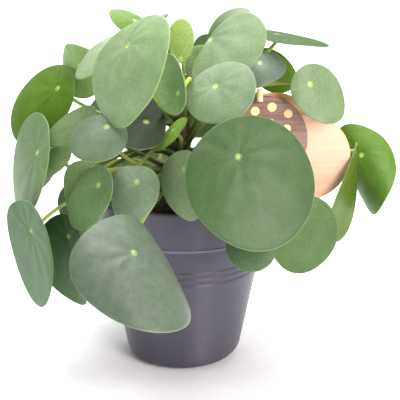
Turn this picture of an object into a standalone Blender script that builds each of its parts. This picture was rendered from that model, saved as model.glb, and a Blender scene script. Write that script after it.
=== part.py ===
"""A potted Chinese money plant (Pilea peperomioides) in a turned plastic pot.

The frame is +Z up with the origin at the middle of the pot's flat underside, and
-Y is the plant's show side. Sizes below are millimetres and degrees; they become
metres once, where a mesh is made. A compass bearing is measured round the plant from
the show side: 0 faces -Y, 90 faces +X, 180 faces +Y.
"""

import math
from typing import NamedTuple

import bmesh
import bpy
from mathutils import Vector

METRES = 0.001
GAP = 0.3

# The pot: a straight tapering wall, a bead, three grooves and a rolled lip.
POT_HEIGHT = 115.0
POT_RIM_RADIUS = 60.0
POT_FOOT_RADIUS = 36.5
POT_WALL = 1.5
POT_FLOOR = 2.0
POT_CORNER_RADIUS = 11.0
POT_SEGMENTS = 48
LIP_HEIGHT = 3.0
LIP_PROUD = 0.9
LIP_ROUND = 0.8
BEAD_Z = 89.0
BEAD_HEIGHT = 3.0
BEAD_PROUD = 0.9
GROOVE_HEIGHTS = (74.5, 70.0, 65.5)
GROOVE_WIDTH = 2.4
GROOVE_DEPTH = 0.6
DRAIN_HOLES = 6
DRAIN_RADIUS = 4.0
DRAIN_CIRCLE = 17.0

# The soil stops a finger's width below the lip, rises a little towards the middle
# and leaves a socket for the foot of the stem.
SOIL_TOP = 101.0
SOIL_MOUND = 2.5
MOUND_FOOT = 0.6  # share of the soil's radius where the mound is half up
MOUND_CROWN = 0.25  # and where it is all the way up
SOIL_HOLE_DEPTH = 12.0

# The stem stands in the middle, with the leaf stalks leaving it in a spiral.
STEM_TOP = 170.0
STEM_FOOT_RADIUS = 5.6
STEM_TOP_RADIUS = 3.4
STEM_SIDES = 12
STEM_RINGS = 10
LOWEST_NODE = 106.0
HIGHEST_NODE = 168.0

# Every leaf is one solid: a round blade on a stalk that meets it well inside its edge.
BLADE_SEGMENTS = 14
BLADE_RINGS = (0.40, 0.74, 1.0)
BLADE_THICKNESS = 1.1
BLADE_EDGE_THICKNESS = 0.7
BULGE_SPREAD = 38.0  # degrees
STALK_SIDES = BLADE_SEGMENTS // 2
STALK_RINGS = 6
STALK_FOOT_RADIUS = 1.5
STALK_TOP_RADIUS = 1.1
STALK_CLEAR_OF_BLADE = 1.5
STALK_LEAVES_AT = 0.25  # share of the stalk that runs straight away from the stem

# The ornament: three thin round discs on a stick pushed into the soil.
DISC_RADIUS = 28.0
DISC_THICKNESS = 2.0
DISC_SIDES = 32
DISC_EDGE_ROUND = 0.5
STICK_RADIUS = 1.8
STICK_SIDES = 10
STICK_FOOT_Z = 90.0
STICK_TOP_Z = 172.0
STICK_X = 48.0
PEG_RADIUS = 2.0
PEG_ROUND = 0.8
PEG_Z = (174.0, 182.0)


class Leaf(NamedTuple):
    name: str
    eye: tuple  # where the stalk meets the blade, on its upper side
    faces: tuple  # bearing and lift of the way the upper side looks
    tip: float  # turn of the tip away from straight downhill, + to the right seen from above
    length: float
    width: float
    droop: float = 30.0  # bend along the blade, + where the tip and base curl away from the upper side
    fold: float = 20.0  # bend across the blade, + where both sides curl away from the upper side
    twist: float = 0.0
    base: float = 0.31  # share of the length that lies behind the eye
    arch: float = 18.0  # how far the stalk climbs before it turns outwards
    over: float = 0.0  # how far the stalk stays above the blade before it comes down to it
    reach: float = 0.28  # share of the stalk that runs in line with the way the blade faces
    sway: float = 0.0  # sideways bow of the stalk, + towards rising bearings
    bulges: tuple = ()  # where the edge leaves its oval: (degrees round from the tip, share of the radius)


# From the oldest leaf, lowest on the stem, to the youngest, in the order in which they leave it.
LEAVES = (
    Leaf("leaf_front_left_folded", (-26.4, -114.8, 111.6), (44, 50), 6, 76, 73, 25, 107, -26, 0.35,
         arch=50, over=20, reach=0.5, sway=8, bulges=((-172, -0.04), (-126, 0.12), (38, -0.03))),
    Leaf("leaf_left_lower_long", (-93, -46, 100), (-54, -7), -9, 73, 56, -7, -11, 7, 0.3,
         arch=30, over=10, reach=0.15, sway=-8, bulges=((-156, -0.08), (-109, 0.11), (164, 0.05))),
    Leaf("leaf_right_edge_on", (112, -1, 138), (73, -4), -14, 65, 32, 9, 0, 34, 0.08,
         arch=32, reach=0.45, bulges=((-71, 0.18), (-58, 0.04), (144, 0.09))),
    Leaf("leaf_front_under", (38.6, -73.2, 105.8), (0, 40), 10, 31, 30,
         arch=40, over=10, reach=0.15, sway=-8),
    Leaf("leaf_back_left_low", (-65, 65, 103), (225, 15), 0, 66, 62, over=35),
    Leaf("leaf_right_lower", (71, -42, 104), (14, 10), 31, 49, 49, 33, 25, -5, 0.3,
         over=35, bulges=((-156, -0.07), (-33, 0.07), (74, -0.05))),
    Leaf("leaf_back_right_low", (80, 46, 104), (120, 20), 0, 64, 60, over=35),
    Leaf("leaf_front_centre", (0, -68, 145), (-56, 16), -13, 43, 44, 47, 25, -13, 0.26,
         bulges=((-141, -0.06), (-26, -0.06), (168, 0.04))),
    Leaf("leaf_left_lower_inner", (-73, -26, 90), (-53, 10), -2, 63, 58, 38, -46, -12, 0.25,
         over=45, reach=0.06, sway=-6, bulges=((161, -0.13),)),
    Leaf("leaf_back_left_outer", (-88.5, 28.9, 147.1), (255, 20), 0, 60, 56, arch=12, reach=0.23),
    Leaf("leaf_left_inner_behind", (-54, -38, 138), (-21, 26), -24, 36, 36, 17, -32, 43, 0.08,
         bulges=((-49, -0.17), (-36, 0.06), (21, -0.05))),
    Leaf("leaf_back_right_middle", (55, 55, 155), (135, 30), 0, 56, 52),
    Leaf("leaf_right_far", (120.7, 25.4, 129.6), (-45, 28), 44, 72, 46, -27, 139, 51, 0.39,
         arch=22, reach=0.3, sway=24, bulges=((-34, 0.1), (143, -0.09), (167, -0.03))),
    Leaf("leaf_centre_left_pale", (-43.9, -57.9, 168.2), (-7, 49), -42, 36, 38, 24, 61, 15, 0.27,
         arch=6, reach=0.5, bulges=((-137, -0.12), (-43, -0.12), (54, -0.07))),
    Leaf("leaf_back_low", (37, 80, 105), (155, 20), 0, 64, 60, over=35),
    Leaf("leaf_left_middle_long", (-90, -26, 145), (-61, 23), -45, 56, 71, 20, 6, -6, 0.27,
         arch=6, over=40, reach=0.5, bulges=((32, 0.06),)),
    Leaf("leaf_back_left_middle", (-45, 64, 160), (215, 30), 0, 56, 52, reach=0.23),
    Leaf("leaf_front_centre_left", (-26.9, -62.4, 136.1), (-25, 17), -20, 40, 35, 15, -3, 50,
         arch=0, reach=0.08, bulges=((-158, -0.08), (-156, -0.09), (26, 0.04))),
    Leaf("leaf_back_centre", (-18, 95, 112), (190, 20), 0, 66, 62, over=25),
    Leaf("leaf_centre_crescent", (-6, -30, 160), (-83, 49), 0, 28, 35, 29, 20, 7, 0.41,
         arch=21, bulges=((-69, 0.1), (128, -0.13), (148, -0.09))),
    Leaf("leaf_left_inner_small", (-74, -3, 109), (-36, 14), 33, 28, 26, over=10, reach=0.18),
    Leaf("leaf_back_left_high", (-21, 45, 195), (205, 40), 0, 46, 42),
    Leaf("leaf_front_right_largest", (31, -86, 157), (6, 31), 30, 74, 76, 22, 24, -14, 0.3,
         bulges=((-20, 0.11), (97, -0.03))),
    Leaf("leaf_back_right_high", (25, 43, 200), (150, 40), 0, 46, 42, reach=0.45),
    Leaf("leaf_left_middle_low", (-77.5, 0.2, 133), (-65, 54), -40, 31, 46, 13, -45, -4, 0.21,
         arch=15, bulges=((-73, -0.03), (131, -0.06))),
    Leaf("leaf_centre_right_pale", (19, -54, 191), (-33, 44), 54, 43, 43, 25, 10, 6, 0.38,
         over=3, bulges=((-48, -0.04), (19, 0.03))),
    Leaf("leaf_left_inner_oval", (-50.1, -56.6, 132.6), (-44, 30), -34, 43, 32, 27, 31, -9, 0.24,
         over=9, reach=0.45, bulges=((-113, 0.15), (-36, -0.1), (116, 0.07))),
    Leaf("leaf_left_upper_outer", (-80, 8, 179), (-38, 39), -51, 63, 55, 38, 36, -1, 0.24,
         arch=6, bulges=((64, 0.03), (176, -0.07))),
    Leaf("leaf_right_upper_dark", (61.4, 26.9, 192.4), (40, 21), -27, 29, 37, 22, -9, 5, 0.28,
         bulges=((-104, 0.08), (-69, -0.06), (93, 0.06))),
    Leaf("leaf_crown_right_large", (17, -15.5, 212.8), (-55, 43), 78, 43, 54, 39, 16, -11, 0.12,
         arch=24, over=19, reach=0.18, bulges=((-159, -0.19), (125, 0.09))),
    Leaf("leaf_centre_left_shaded", (-22, -30, 165), (14, 57), -96, 38, 51, 5, -13, 5, 0.32,
         arch=22, reach=0.3, bulges=((-14, 0.11), (48, -0.06))),
    Leaf("leaf_right_round", (78.5, -19.9, 185.7), (15, 18), 44, 42, 35, 17, 27, -33, 0.28,
         arch=39, over=6, bulges=((-92, -0.06),)),
    Leaf("leaf_crown_right_behind", (25, 10, 215), (-45, 39), -10, 41, 21, 64, -25, 26, 0.46,
         arch=9, over=9, reach=0.23, bulges=((-56, -0.17), (-26, 0.03), (178, 0.28))),
    Leaf("leaf_left_upper_curled", (-66, 12, 192), (-37, -11), -21, 38, 38, -30, 58, 18, 0.4,
         bulges=((13, -0.08), (114, 0.03), (142, 0.07))),
    Leaf("leaf_left_middle_inner", (-61, -33, 165), (-46, 45), -66, 45, 31, 20, 21, 11, 0.29,
         bulges=((-174, -0.14), (-126, 0.04), (83, -0.08))),
    Leaf("leaf_crown_centre_narrow", (11, 14, 197), (-20, 20), 21, 28, 24, arch=16, over=9, reach=0.33),
    Leaf("leaf_crown_far_left", (-30, 25, 220), (54, 57), -93, 28, 28, 16, 30, -9, 0.34,
         bulges=((-68, 0.06),)),
    Leaf("leaf_centre_upper", (-3, -54.8, 187.2), (-61, 19), -130, 44, 29, -14, -77, 4, 0.33,
         arch=6, over=30, reach=0.26, bulges=((-56, -0.2),)),
    Leaf("leaf_crown_left_pale", (-40, -14, 209), (-38, 62), -26, 45, 34, 30, 6, 9, 0.3,
         arch=14, reach=0.43, bulges=((-160, -0.03), (-47, -0.21), (-14, 0.09))),
    Leaf("leaf_back_middle", (10, 64, 166), (175, 30), 0, 56, 52),
    Leaf("leaf_crown_left_large", (-31, -56, 215), (-59, 33), 34, 70, 71, 54, 23, 24, 0.28,
         arch=0, over=-20, reach=0.22, bulges=((-159, -0.06), (-121, 0.11), (2, -0.14))),
    Leaf("leaf_right_top_level", (60.9, 16.5, 212.2), (87, 82), -37, 61, 48, 12, 13, 3, 0.41,
         arch=30, reach=0.15, sway=-8, bulges=((-14, -0.12), (31, 0.05), (160, 0.19))),
    Leaf("leaf_crown_back_sliver", (-21, 10, 220), (-76, 50), 145, 17, 22, 28, 110, -2, 0.24,
         bulges=((-43, -0.13), (6, 0.08), (93, 0.07))),
    Leaf("leaf_right_upper_grey", (48, -12, 198), (-1, 48), 40, 22, 33, 35, 60, -13,
         arch=24, reach=0.23, bulges=((27, 0.04),)),
    Leaf("leaf_crown_young_upright", (-1, -8, 200), (-36, 13), -165, 28, 20, 13, 24, 6, 0.09,
         arch=6, over=-20, reach=0.08, bulges=((-168, 0.04), (121, -0.11))),
)

DISCS = (
    # name, middle (x, y, z)
    ("ornament_spotted_disc", (51.0, -11.6, 149.0)),
    ("ornament_middle_disc", (79.0, -9.3, 136.5)),
    ("ornament_rear_disc", (58.0, -7.0, 150.2)),
)

POT_PLASTIC = ("anthracite_pot_plastic", "#55545c", 0.45)
SOIL_PEAT = ("dark_peat", "#2a211b", 0.95)
STEM_BARK = ("brown_stem_bark", "#6d5a3e", 0.75)
LEAF_GREEN = ("money_plant_leaf", "#5f8a4b", 0.4)
SPOTTED_WOOD = ("brown_stained_wood", "#6b4a35", 0.5)
PEACH_WOOD = ("peach_stained_wood", "#f5cba8", 0.6)
PALE_WOOD = ("pale_birch_wood", "#e6cf9c", 0.6)


def clear_scene():
    for item in list(bpy.data.objects):
        bpy.data.objects.remove(item)


def linear_colour(hex_colour):
    channels = [int(hex_colour[i:i + 2], 16) / 255 for i in (1, 3, 5)]
    return [c / 12.92 if c <= 0.04045 else ((c + 0.055) / 1.055) ** 2.4 for c in channels] + [1.0]


def make_material(node_name, finish):
    name, colour, roughness = finish
    material = bpy.data.materials.new(f"{node_name}_{name}")
    material.use_nodes = True
    surface = material.node_tree.nodes["Principled BSDF"]
    surface.inputs["Base Color"].default_value = linear_colour(colour)
    surface.inputs["Roughness"].default_value = roughness
    surface.inputs["Metallic"].default_value = 0.0
    return material


def add_object(name, shape, finish):
    """Turns a bmesh in millimetres into a named object with a material of its own."""
    bmesh.ops.scale(shape, vec=(METRES,) * 3, verts=shape.verts)
    mesh = bpy.data.meshes.new(name)
    shape.to_mesh(mesh)
    shape.free()
    mesh.shade_smooth()
    mesh.set_sharp_from_angle(angle=math.radians(40))
    mesh.materials.append(make_material(name, finish))
    item = bpy.data.objects.new(name, mesh)
    bpy.context.scene.collection.objects.link(item)
    return item


def drill(item, name, shape):
    """Cuts a hidden shape out of an object."""
    cutter = add_object(name, shape, PALE_WOOD)
    cutter.hide_render = True
    cutter.display_type = "WIRE"
    cut = item.modifiers.new(name, "BOOLEAN")
    cut.operation = "DIFFERENCE"
    cut.object = cutter


def ring_of(shape, points):
    return [shape.verts.new(point) for point in points]


def skin(shape, lower, upper, first=0):
    """Joins two rings with as many points each; both run anticlockwise seen from the far end.

    A bent face folds from its first corner to its third, so `first` lets two skins fold alike.
    """
    for i in range(len(lower)):
        j = (i + 1) % len(lower)
        corners = (lower[i], lower[j], upper[j], upper[i])
        shape.faces.new(corners[first:] + corners[:first])


def fan(shape, ring, point):
    for i in range(len(ring)):
        shape.faces.new((ring[i], ring[(i + 1) % len(ring)], point))


def turned(profile, sides):
    """A solid of revolution round Z from (radius, z) points that start and end on the axis."""
    shape = bmesh.new()
    rings = []
    for radius, z in profile[1:-1]:
        angles = [2 * math.pi * i / sides for i in range(sides)]
        rings.append(ring_of(shape, [(radius * math.cos(a), radius * math.sin(a), z) for a in angles]))
    for lower, upper in zip(rings, rings[1:]):
        skin(shape, lower, upper)
    fan(shape, rings[0][::-1], shape.verts.new((0, 0, profile[0][1])))
    fan(shape, rings[-1], shape.verts.new((0, 0, profile[-1][1])))
    return shape


def wall_radius(z):
    """The pot's outer radius at a height, before beads, grooves and the rounded foot."""
    return POT_FOOT_RADIUS + (POT_RIM_RADIUS - POT_FOOT_RADIUS) * z / POT_HEIGHT


def rounded_corner(radius, inset, floor_z, steps=4):
    """Points of the rounded turn from a floor into the pot's wall, from the floor upwards."""
    points = []
    for i in range(steps + 1):
        angle = math.pi / 2 * i / steps
        z = floor_z + radius * (1 - math.cos(angle))
        reach = wall_radius(floor_z + radius) - inset - radius
        points.append((reach + radius * math.sin(angle), z))
    return points


def pot_profile():
    outer = [(0, 0)] + rounded_corner(POT_CORNER_RADIUS, 0, 0)
    half = GROOVE_WIDTH / 2
    for z in sorted(GROOVE_HEIGHTS):
        outer += [
            (wall_radius(z - half), z - half),
            (wall_radius(z) - GROOVE_DEPTH, z),
            (wall_radius(z + half), z + half),
        ]
    bead = BEAD_HEIGHT / 2
    outer += [
        (wall_radius(BEAD_Z - bead), BEAD_Z - bead),
        (wall_radius(BEAD_Z - bead / 2) + BEAD_PROUD, BEAD_Z - bead / 2),
        (wall_radius(BEAD_Z + bead / 2) + BEAD_PROUD, BEAD_Z + bead / 2),
        (wall_radius(BEAD_Z + bead), BEAD_Z + bead),
    ]
    lip_foot = POT_HEIGHT - LIP_HEIGHT
    lip_reach = POT_RIM_RADIUS + LIP_PROUD
    lip = [
        (wall_radius(lip_foot), lip_foot),
        (lip_reach, lip_foot + LIP_ROUND),
        (lip_reach, POT_HEIGHT - LIP_ROUND),
        (lip_reach - LIP_ROUND, POT_HEIGHT),
        (POT_RIM_RADIUS - POT_WALL + LIP_ROUND / 2, POT_HEIGHT),
        (POT_RIM_RADIUS - POT_WALL, POT_HEIGHT - LIP_ROUND),
    ]
    inner = rounded_corner(POT_CORNER_RADIUS - POT_WALL, POT_WALL, POT_FLOOR, 3)[::-1] + [(0, POT_FLOOR)]
    return outer + lip + inner


def make_pot():
    pot = add_object("pot", turned(pot_profile(), POT_SEGMENTS), POT_PLASTIC)
    drills = bmesh.new()
    for i in range(DRAIN_HOLES):
        angle = 2 * math.pi * i / DRAIN_HOLES
        made = bmesh.ops.create_cone(
            drills, cap_ends=True, segments=12,
            radius1=DRAIN_RADIUS, radius2=DRAIN_RADIUS, depth=POT_FLOOR * 4,
        )
        bmesh.ops.translate(
            drills, verts=made["verts"],
            vec=(DRAIN_CIRCLE * math.cos(angle), DRAIN_CIRCLE * math.sin(angle), POT_FLOOR / 2),
        )
    drill(pot, "drain_drill", drills)


def make_soil():
    """Peat that follows the pot's inside and leaves a round socket for the stem."""
    wall = POT_WALL + GAP
    side = rounded_corner(POT_CORNER_RADIUS - POT_WALL, wall, POT_FLOOR + GAP, 3)
    socket = STEM_FOOT_RADIUS + GAP
    top = wall_radius(SOIL_TOP) - wall
    profile = [(0, POT_FLOOR + GAP)] + side + [
        (top, SOIL_TOP),
        (top * MOUND_FOOT, SOIL_TOP + SOIL_MOUND / 2),
        (top * MOUND_CROWN, SOIL_TOP + SOIL_MOUND),
        (socket, SOIL_TOP + SOIL_MOUND),
        (socket, SOIL_TOP + SOIL_MOUND - SOIL_HOLE_DEPTH),
        (0, SOIL_TOP + SOIL_MOUND - SOIL_HOLE_DEPTH),
    ]
    soil = add_object("soil", turned(profile, POT_SEGMENTS), SOIL_PEAT)
    hole = turned(rod_profile(STICK_RADIUS + GAP, STICK_FOOT_Z - GAP, POT_HEIGHT), STICK_SIDES)
    bmesh.ops.translate(hole, verts=hole.verts, vec=(*stick_place(), 0))
    drill(soil, "stick_drill", hole)


def stem_radius(z):
    along = (z - LOWEST_NODE) / (STEM_TOP - LOWEST_NODE)
    return STEM_FOOT_RADIUS + (STEM_TOP_RADIUS - STEM_FOOT_RADIUS) * max(0.0, along)


def make_stem():
    foot = SOIL_TOP + SOIL_MOUND - SOIL_HOLE_DEPTH + GAP
    heights = [foot + (STEM_TOP - foot) * i / (STEM_RINGS - 1) for i in range(STEM_RINGS)]
    profile = [(0, foot)] + [(stem_radius(z), z) for z in heights] + [(0, STEM_TOP + STEM_TOP_RADIUS)]
    return add_object("main_stem", turned(profile, STEM_SIDES), STEM_BARK)


def bearing(degrees):
    """The level direction of a compass bearing."""
    return Vector((math.sin(math.radians(degrees)), -math.cos(math.radians(degrees)), 0))


def blade_axes(leaf):
    """The blade's own directions at the eye: towards the tip, to its right, and out of its upper side."""
    turn, lift = leaf.faces
    out = bearing(turn) * math.cos(math.radians(lift)) + Vector((0, 0, math.sin(math.radians(lift))))
    level = bearing(turn + 90)
    downhill = level.cross(out)
    tip = math.radians(leaf.tip)
    along = downhill * math.cos(tip) + level * math.sin(tip)
    return along, out.cross(along), out


def bent(distance, bend):
    """Where a point at a distance from the eye goes when the blade bends on an arc: along, and down."""
    if abs(bend) < 1e-6:
        return distance, 0.0
    return math.sin(bend * distance) / bend, (1 - math.cos(bend * distance)) / bend


def blade_point(leaf, along, across):
    """A point of the upper side from its flat place on the blade."""
    t, t_down = bent(along, math.radians(leaf.droop) / leaf.length)
    s, s_down = bent(across, math.radians(leaf.fold) / leaf.width)
    turn = math.radians(leaf.twist) * along / leaf.length
    s, lift = s * math.cos(turn), s * math.sin(turn)
    tip, right, out = blade_axes(leaf)
    return Vector(leaf.eye) + tip * t + right * s + out * (lift - t_down - s_down)


def blade_normal(leaf, along, across):
    step = 0.5
    a = blade_point(leaf, along + step, across) - blade_point(leaf, along - step, across)
    b = blade_point(leaf, along, across + step) - blade_point(leaf, along, across - step)
    return a.cross(b).normalized()


def blade_outline(leaf, i):
    """The flat place of the i-th point of the edge, seen from the eye."""
    degrees = 360 * i / BLADE_SEGMENTS
    grown = 1.0
    for at, share in leaf.bulges:
        apart = (degrees - at + 180) % 360 - 180
        grown += share * math.exp(-((apart / BULGE_SPREAD) ** 2))
    angle = math.radians(degrees)
    middle = (0.5 - leaf.base) * leaf.length
    return middle + grown * leaf.length / 2 * math.cos(angle), grown * leaf.width / 2 * math.sin(angle)


def blade_rings(leaf, thickness_at):
    """Rings of the blade from the eye outwards, each lowered by its thickness."""
    rings = []
    for part in BLADE_RINGS:
        ring = []
        for i in range(BLADE_SEGMENTS):
            along, across = (part * x for x in blade_outline(leaf, i))
            below = blade_normal(leaf, along, across) * thickness_at(part)
            ring.append(blade_point(leaf, along, across) - below)
        rings.append(ring)
    return rings


def stalk_path(leaf, node_z, steps):
    """Points of the stalk's middle line from the stem to the underside of the blade, with its tangents."""
    tip, right, out = blade_axes(leaf)
    outward = Vector((leaf.eye[0], leaf.eye[1], 0)).normalized()
    foot = outward * (stem_radius(node_z) + GAP) + Vector((0, 0, node_z))
    head = Vector(leaf.eye) - out * (BLADE_THICKNESS + STALK_CLEAR_OF_BLADE)
    span = (head - foot).length
    bow = Vector((0, 0, 1)).cross(outward) * leaf.sway
    first = foot + outward * (span * STALK_LEAVES_AT) + bow + Vector((0, 0, leaf.arch))
    last = head - out * (span * leaf.reach) + bow + Vector((0, 0, leaf.over))
    path = []
    for i in range(steps + 1):
        u = i / steps
        v = 1 - u
        point = foot * v**3 + first * (3 * v * v * u) + last * (3 * v * u * u) + head * u**3
        slope = (first - foot) * v * v + (last - first) * (2 * v * u) + (head - last) * u * u
        path.append((point, slope.normalized()))
    path[0] = (path[0][0], outward)
    return path


def make_leaf(leaf, node_z):
    shape = bmesh.new()
    grade = BLADE_THICKNESS - BLADE_EDGE_THICKNESS
    upper = [ring_of(shape, ring) for ring in blade_rings(leaf, lambda part: 0.0)]
    lower = [ring_of(shape, ring) for ring in blade_rings(leaf, lambda part: BLADE_THICKNESS - grade * part)]
    fan(shape, upper[0], shape.verts.new(leaf.eye))
    for inner, outer in zip(upper, upper[1:]):
        skin(shape, outer, inner)
    skin(shape, lower[-1], upper[-1])
    for inner, outer in zip(lower, lower[1:]):
        skin(shape, inner, outer, first=1)

    tip, right, out = blade_axes(leaf)
    path = stalk_path(leaf, node_z, STALK_RINGS - 1)
    path[-1] = (path[-1][0], out)
    side = tip
    circles = []
    for k, (point, along) in reversed(list(enumerate(path))):
        # Each ring keeps the turn of the one above it, so the stalk doesn't twist.
        side = (side - along * side.dot(along)).normalized()
        other = along.cross(side)
        radius = STALK_FOOT_RADIUS + (STALK_TOP_RADIUS - STALK_FOOT_RADIUS) * k / (STALK_RINGS - 1)
        spokes = [2 * math.pi * i / STALK_SIDES for i in range(STALK_SIDES)]
        circles.append([point + (side * math.cos(a) + other * math.sin(a)) * radius for a in spokes])
    stalk = [ring_of(shape, circle) for circle in reversed(circles)]
    for near, far in zip(stalk, stalk[1:]):
        skin(shape, near, far)
    shape.faces.new(stalk[0][::-1])

    # Each side of the stalk spreads into two of the blade's segments.
    collar = lower[0]
    for i in range(STALK_SIDES):
        a, b = stalk[-1][i], stalk[-1][(i + 1) % STALK_SIDES]
        c, d, e = collar[2 * i], collar[2 * i + 1], collar[(2 * i + 2) % BLADE_SEGMENTS]
        shape.faces.new((a, d, c))
        shape.faces.new((a, b, d))
        shape.faces.new((b, e, d))
    return add_object(leaf.name, shape, LEAF_GREEN)


def make_leaves():
    for i, leaf in enumerate(LEAVES):
        node_z = LOWEST_NODE + (HIGHEST_NODE - LOWEST_NODE) * i / (len(LEAVES) - 1)
        make_leaf(leaf, node_z)


def make_disc(name, middle):
    """A thin round disc that faces the show side, with its edges eased."""
    half = DISC_THICKNESS / 2
    ease = DISC_EDGE_ROUND
    profile = [
        (0, -half), (DISC_RADIUS - ease, -half), (DISC_RADIUS, -half + ease),
        (DISC_RADIUS, half - ease), (DISC_RADIUS - ease, half), (0, half),
    ]
    shape = turned(profile, DISC_SIDES)
    for vert in shape.verts:
        x, y, z = vert.co
        vert.co = Vector(middle) + Vector((x, -z, y))
    finish = SPOTTED_WOOD if "spotted" in name else PEACH_WOOD
    return add_object(name, shape, finish)


def stick_place():
    rear_y = DISCS[-1][1][1]
    return STICK_X, rear_y + DISC_THICKNESS / 2 + GAP + STICK_RADIUS


def rod_profile(radius, low, high, ease=0.0):
    """The outline of an upright rod for turned(), with its end edges eased."""
    if not ease:
        return [(0, low), (radius, low), (radius, high), (0, high)]
    return [
        (0, low), (radius - ease, low), (radius, low + ease),
        (radius, high - ease), (radius - ease, high), (0, high),
    ]


def make_rod(name, profile, x, y):
    shape = turned(profile, STICK_SIDES)
    bmesh.ops.translate(shape, verts=shape.verts, vec=(x, y, 0))
    return add_object(name, shape, PALE_WOOD)


def make_peg():
    """A short rounded dowel on the face of the spotted disc, at its upper edge."""
    front_y = DISCS[0][1][1] - DISC_THICKNESS / 2 - GAP - PEG_RADIUS
    return make_rod("ornament_peg", rod_profile(PEG_RADIUS, *PEG_Z, PEG_ROUND), STICK_X, front_y)


def make_stick():
    """The stick stands behind the discs and goes down into the soil."""
    return make_rod("ornament_stick", rod_profile(STICK_RADIUS, STICK_FOOT_Z, STICK_TOP_Z), *stick_place())


clear_scene()
make_pot()
make_soil()
make_stem()
make_leaves()
for disc_name, disc_middle in DISCS:
    make_disc(disc_name, disc_middle)
make_stick()
make_peg()
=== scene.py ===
"""The looks of a potted Chinese money plant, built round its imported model.

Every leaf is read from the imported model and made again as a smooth, waxy blade on a
round stalk; pot, soil, stem and ornament are made again at the same sizes with their
fine relief. Lengths are metres unless a name ends in _MM.
"""

import itertools
import math

import bpy
import numpy as np
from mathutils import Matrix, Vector


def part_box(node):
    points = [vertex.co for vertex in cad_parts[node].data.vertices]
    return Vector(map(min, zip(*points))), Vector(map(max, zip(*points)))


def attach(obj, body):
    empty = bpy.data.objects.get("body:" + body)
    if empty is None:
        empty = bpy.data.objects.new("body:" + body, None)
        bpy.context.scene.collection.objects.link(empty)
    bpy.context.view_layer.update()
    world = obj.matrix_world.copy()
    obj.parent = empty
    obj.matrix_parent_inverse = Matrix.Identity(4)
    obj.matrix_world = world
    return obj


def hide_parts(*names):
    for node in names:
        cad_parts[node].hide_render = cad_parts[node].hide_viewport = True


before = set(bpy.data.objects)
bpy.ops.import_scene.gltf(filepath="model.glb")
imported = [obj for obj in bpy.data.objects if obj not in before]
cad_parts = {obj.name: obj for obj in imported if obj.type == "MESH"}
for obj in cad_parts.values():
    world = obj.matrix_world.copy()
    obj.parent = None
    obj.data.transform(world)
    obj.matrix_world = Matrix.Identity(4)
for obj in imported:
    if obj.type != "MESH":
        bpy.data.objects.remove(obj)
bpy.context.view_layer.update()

MM = 0.001
FULL_TURN = 2 * math.pi

# The camera stands at table height in front of the plant and looks a little down on it.
CAMERA_PLACE = (0.0, -0.6, 0.2876)
CAMERA_AIM = (0.0112, 0.0, 0.1059)
CAMERA_LENS_MM = 86.1
CAMERA_SENSOR_MM = 36.0
CAMERA_SEES = (0.05, 100.0)  # the nearest and the farthest thing, in metres

FLOOR_HALF = 20.0
WALL_LIGHT = 0.8
SHOW_SIDE_LIGHT = 0.18
WALLS_FROM, WALLS_FULL = -0.2, 0.9  # how far back a direction points, as the light grows

# Blades.
AROUND = 96  # points round a blade
OVER = 26  # rings from the eye to the edge on the upper side
OVER_SPREAD = 1.15  # above 1, the rings crowd towards the eye
UNDER = (1.0, 0.86, 0.7, 0.52, 0.36)  # rings on the underside, as shares of the way out
# The last of them: share of the way out, points, and how far it has gone over to stalk.
UNDER_INNER = ((0.22, AROUND // 2, 0.0), (0.1, AROUND // 4, 0.0), (0.0, AROUND // 8, 0.3))
RIM = (0.3, 0.7)  # how far each ring of the rounded edge counts as underside
EYE_THICK_MM = 1.1
EDGE_THICK_MM = 0.7
DIMPLE_MM = 0.6
DIMPLE_WIDTH_MM = 3.4
VEINS = 9
VEIN_DRIFT = 0.25  # how far the swells between the veins turn on their way out, in radians
QUILT_MM = 0.3
QUILT_STARTS_MM = (3, 12)
QUILT_ENDS = (0.7, 1.0)  # shares of the way out
WAVE_MM = 0.55
MOST_WAVE = 1.3  # the waves of the edge grow with the leaf up to this
EDGE_WAVES = ((2, 0.5), (3, 0.4), (5, 0.3), (7, 0.12))  # waves round the edge, and weights
USUAL_REACH_MM = 40  # the reach of a leaf whose relief has its usual height

# Stalks.
STALK_AROUND = 12
STALK_RINGS = 26
STALK_SETTLES = 5  # rings until the points stand evenly round the stalk
STALK_TOP_MM = 1.1
STALK_FOOT_MM = 1.5
STALK_FLARES = ((0.35, 0.03), (0.18, 0.05))  # swelling and its length, at blade and stem
COLLAR_MM = 2.3
STALK_SINKS_MM = 1.3

# Where the finish's pattern lies on the underside and the stalk, off the upper side's.
UNDER_PLACE_MM = 60.0
STALK_PLACE_MM = 200.0
STALK_PLACE_LONG_MM = 100.0
STALK_PLACE_WIDE_MM = 0.3

# Brown spots on one old leaf: place on the blade and size.
SPOTTED_LEAF = "leaf_left_lower_inner"
SPOTS_MM = ((26.0, 6.0, 1.6), (29.0, 3.0, 1.2), (27.0, 10.0, 1.0))

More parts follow.
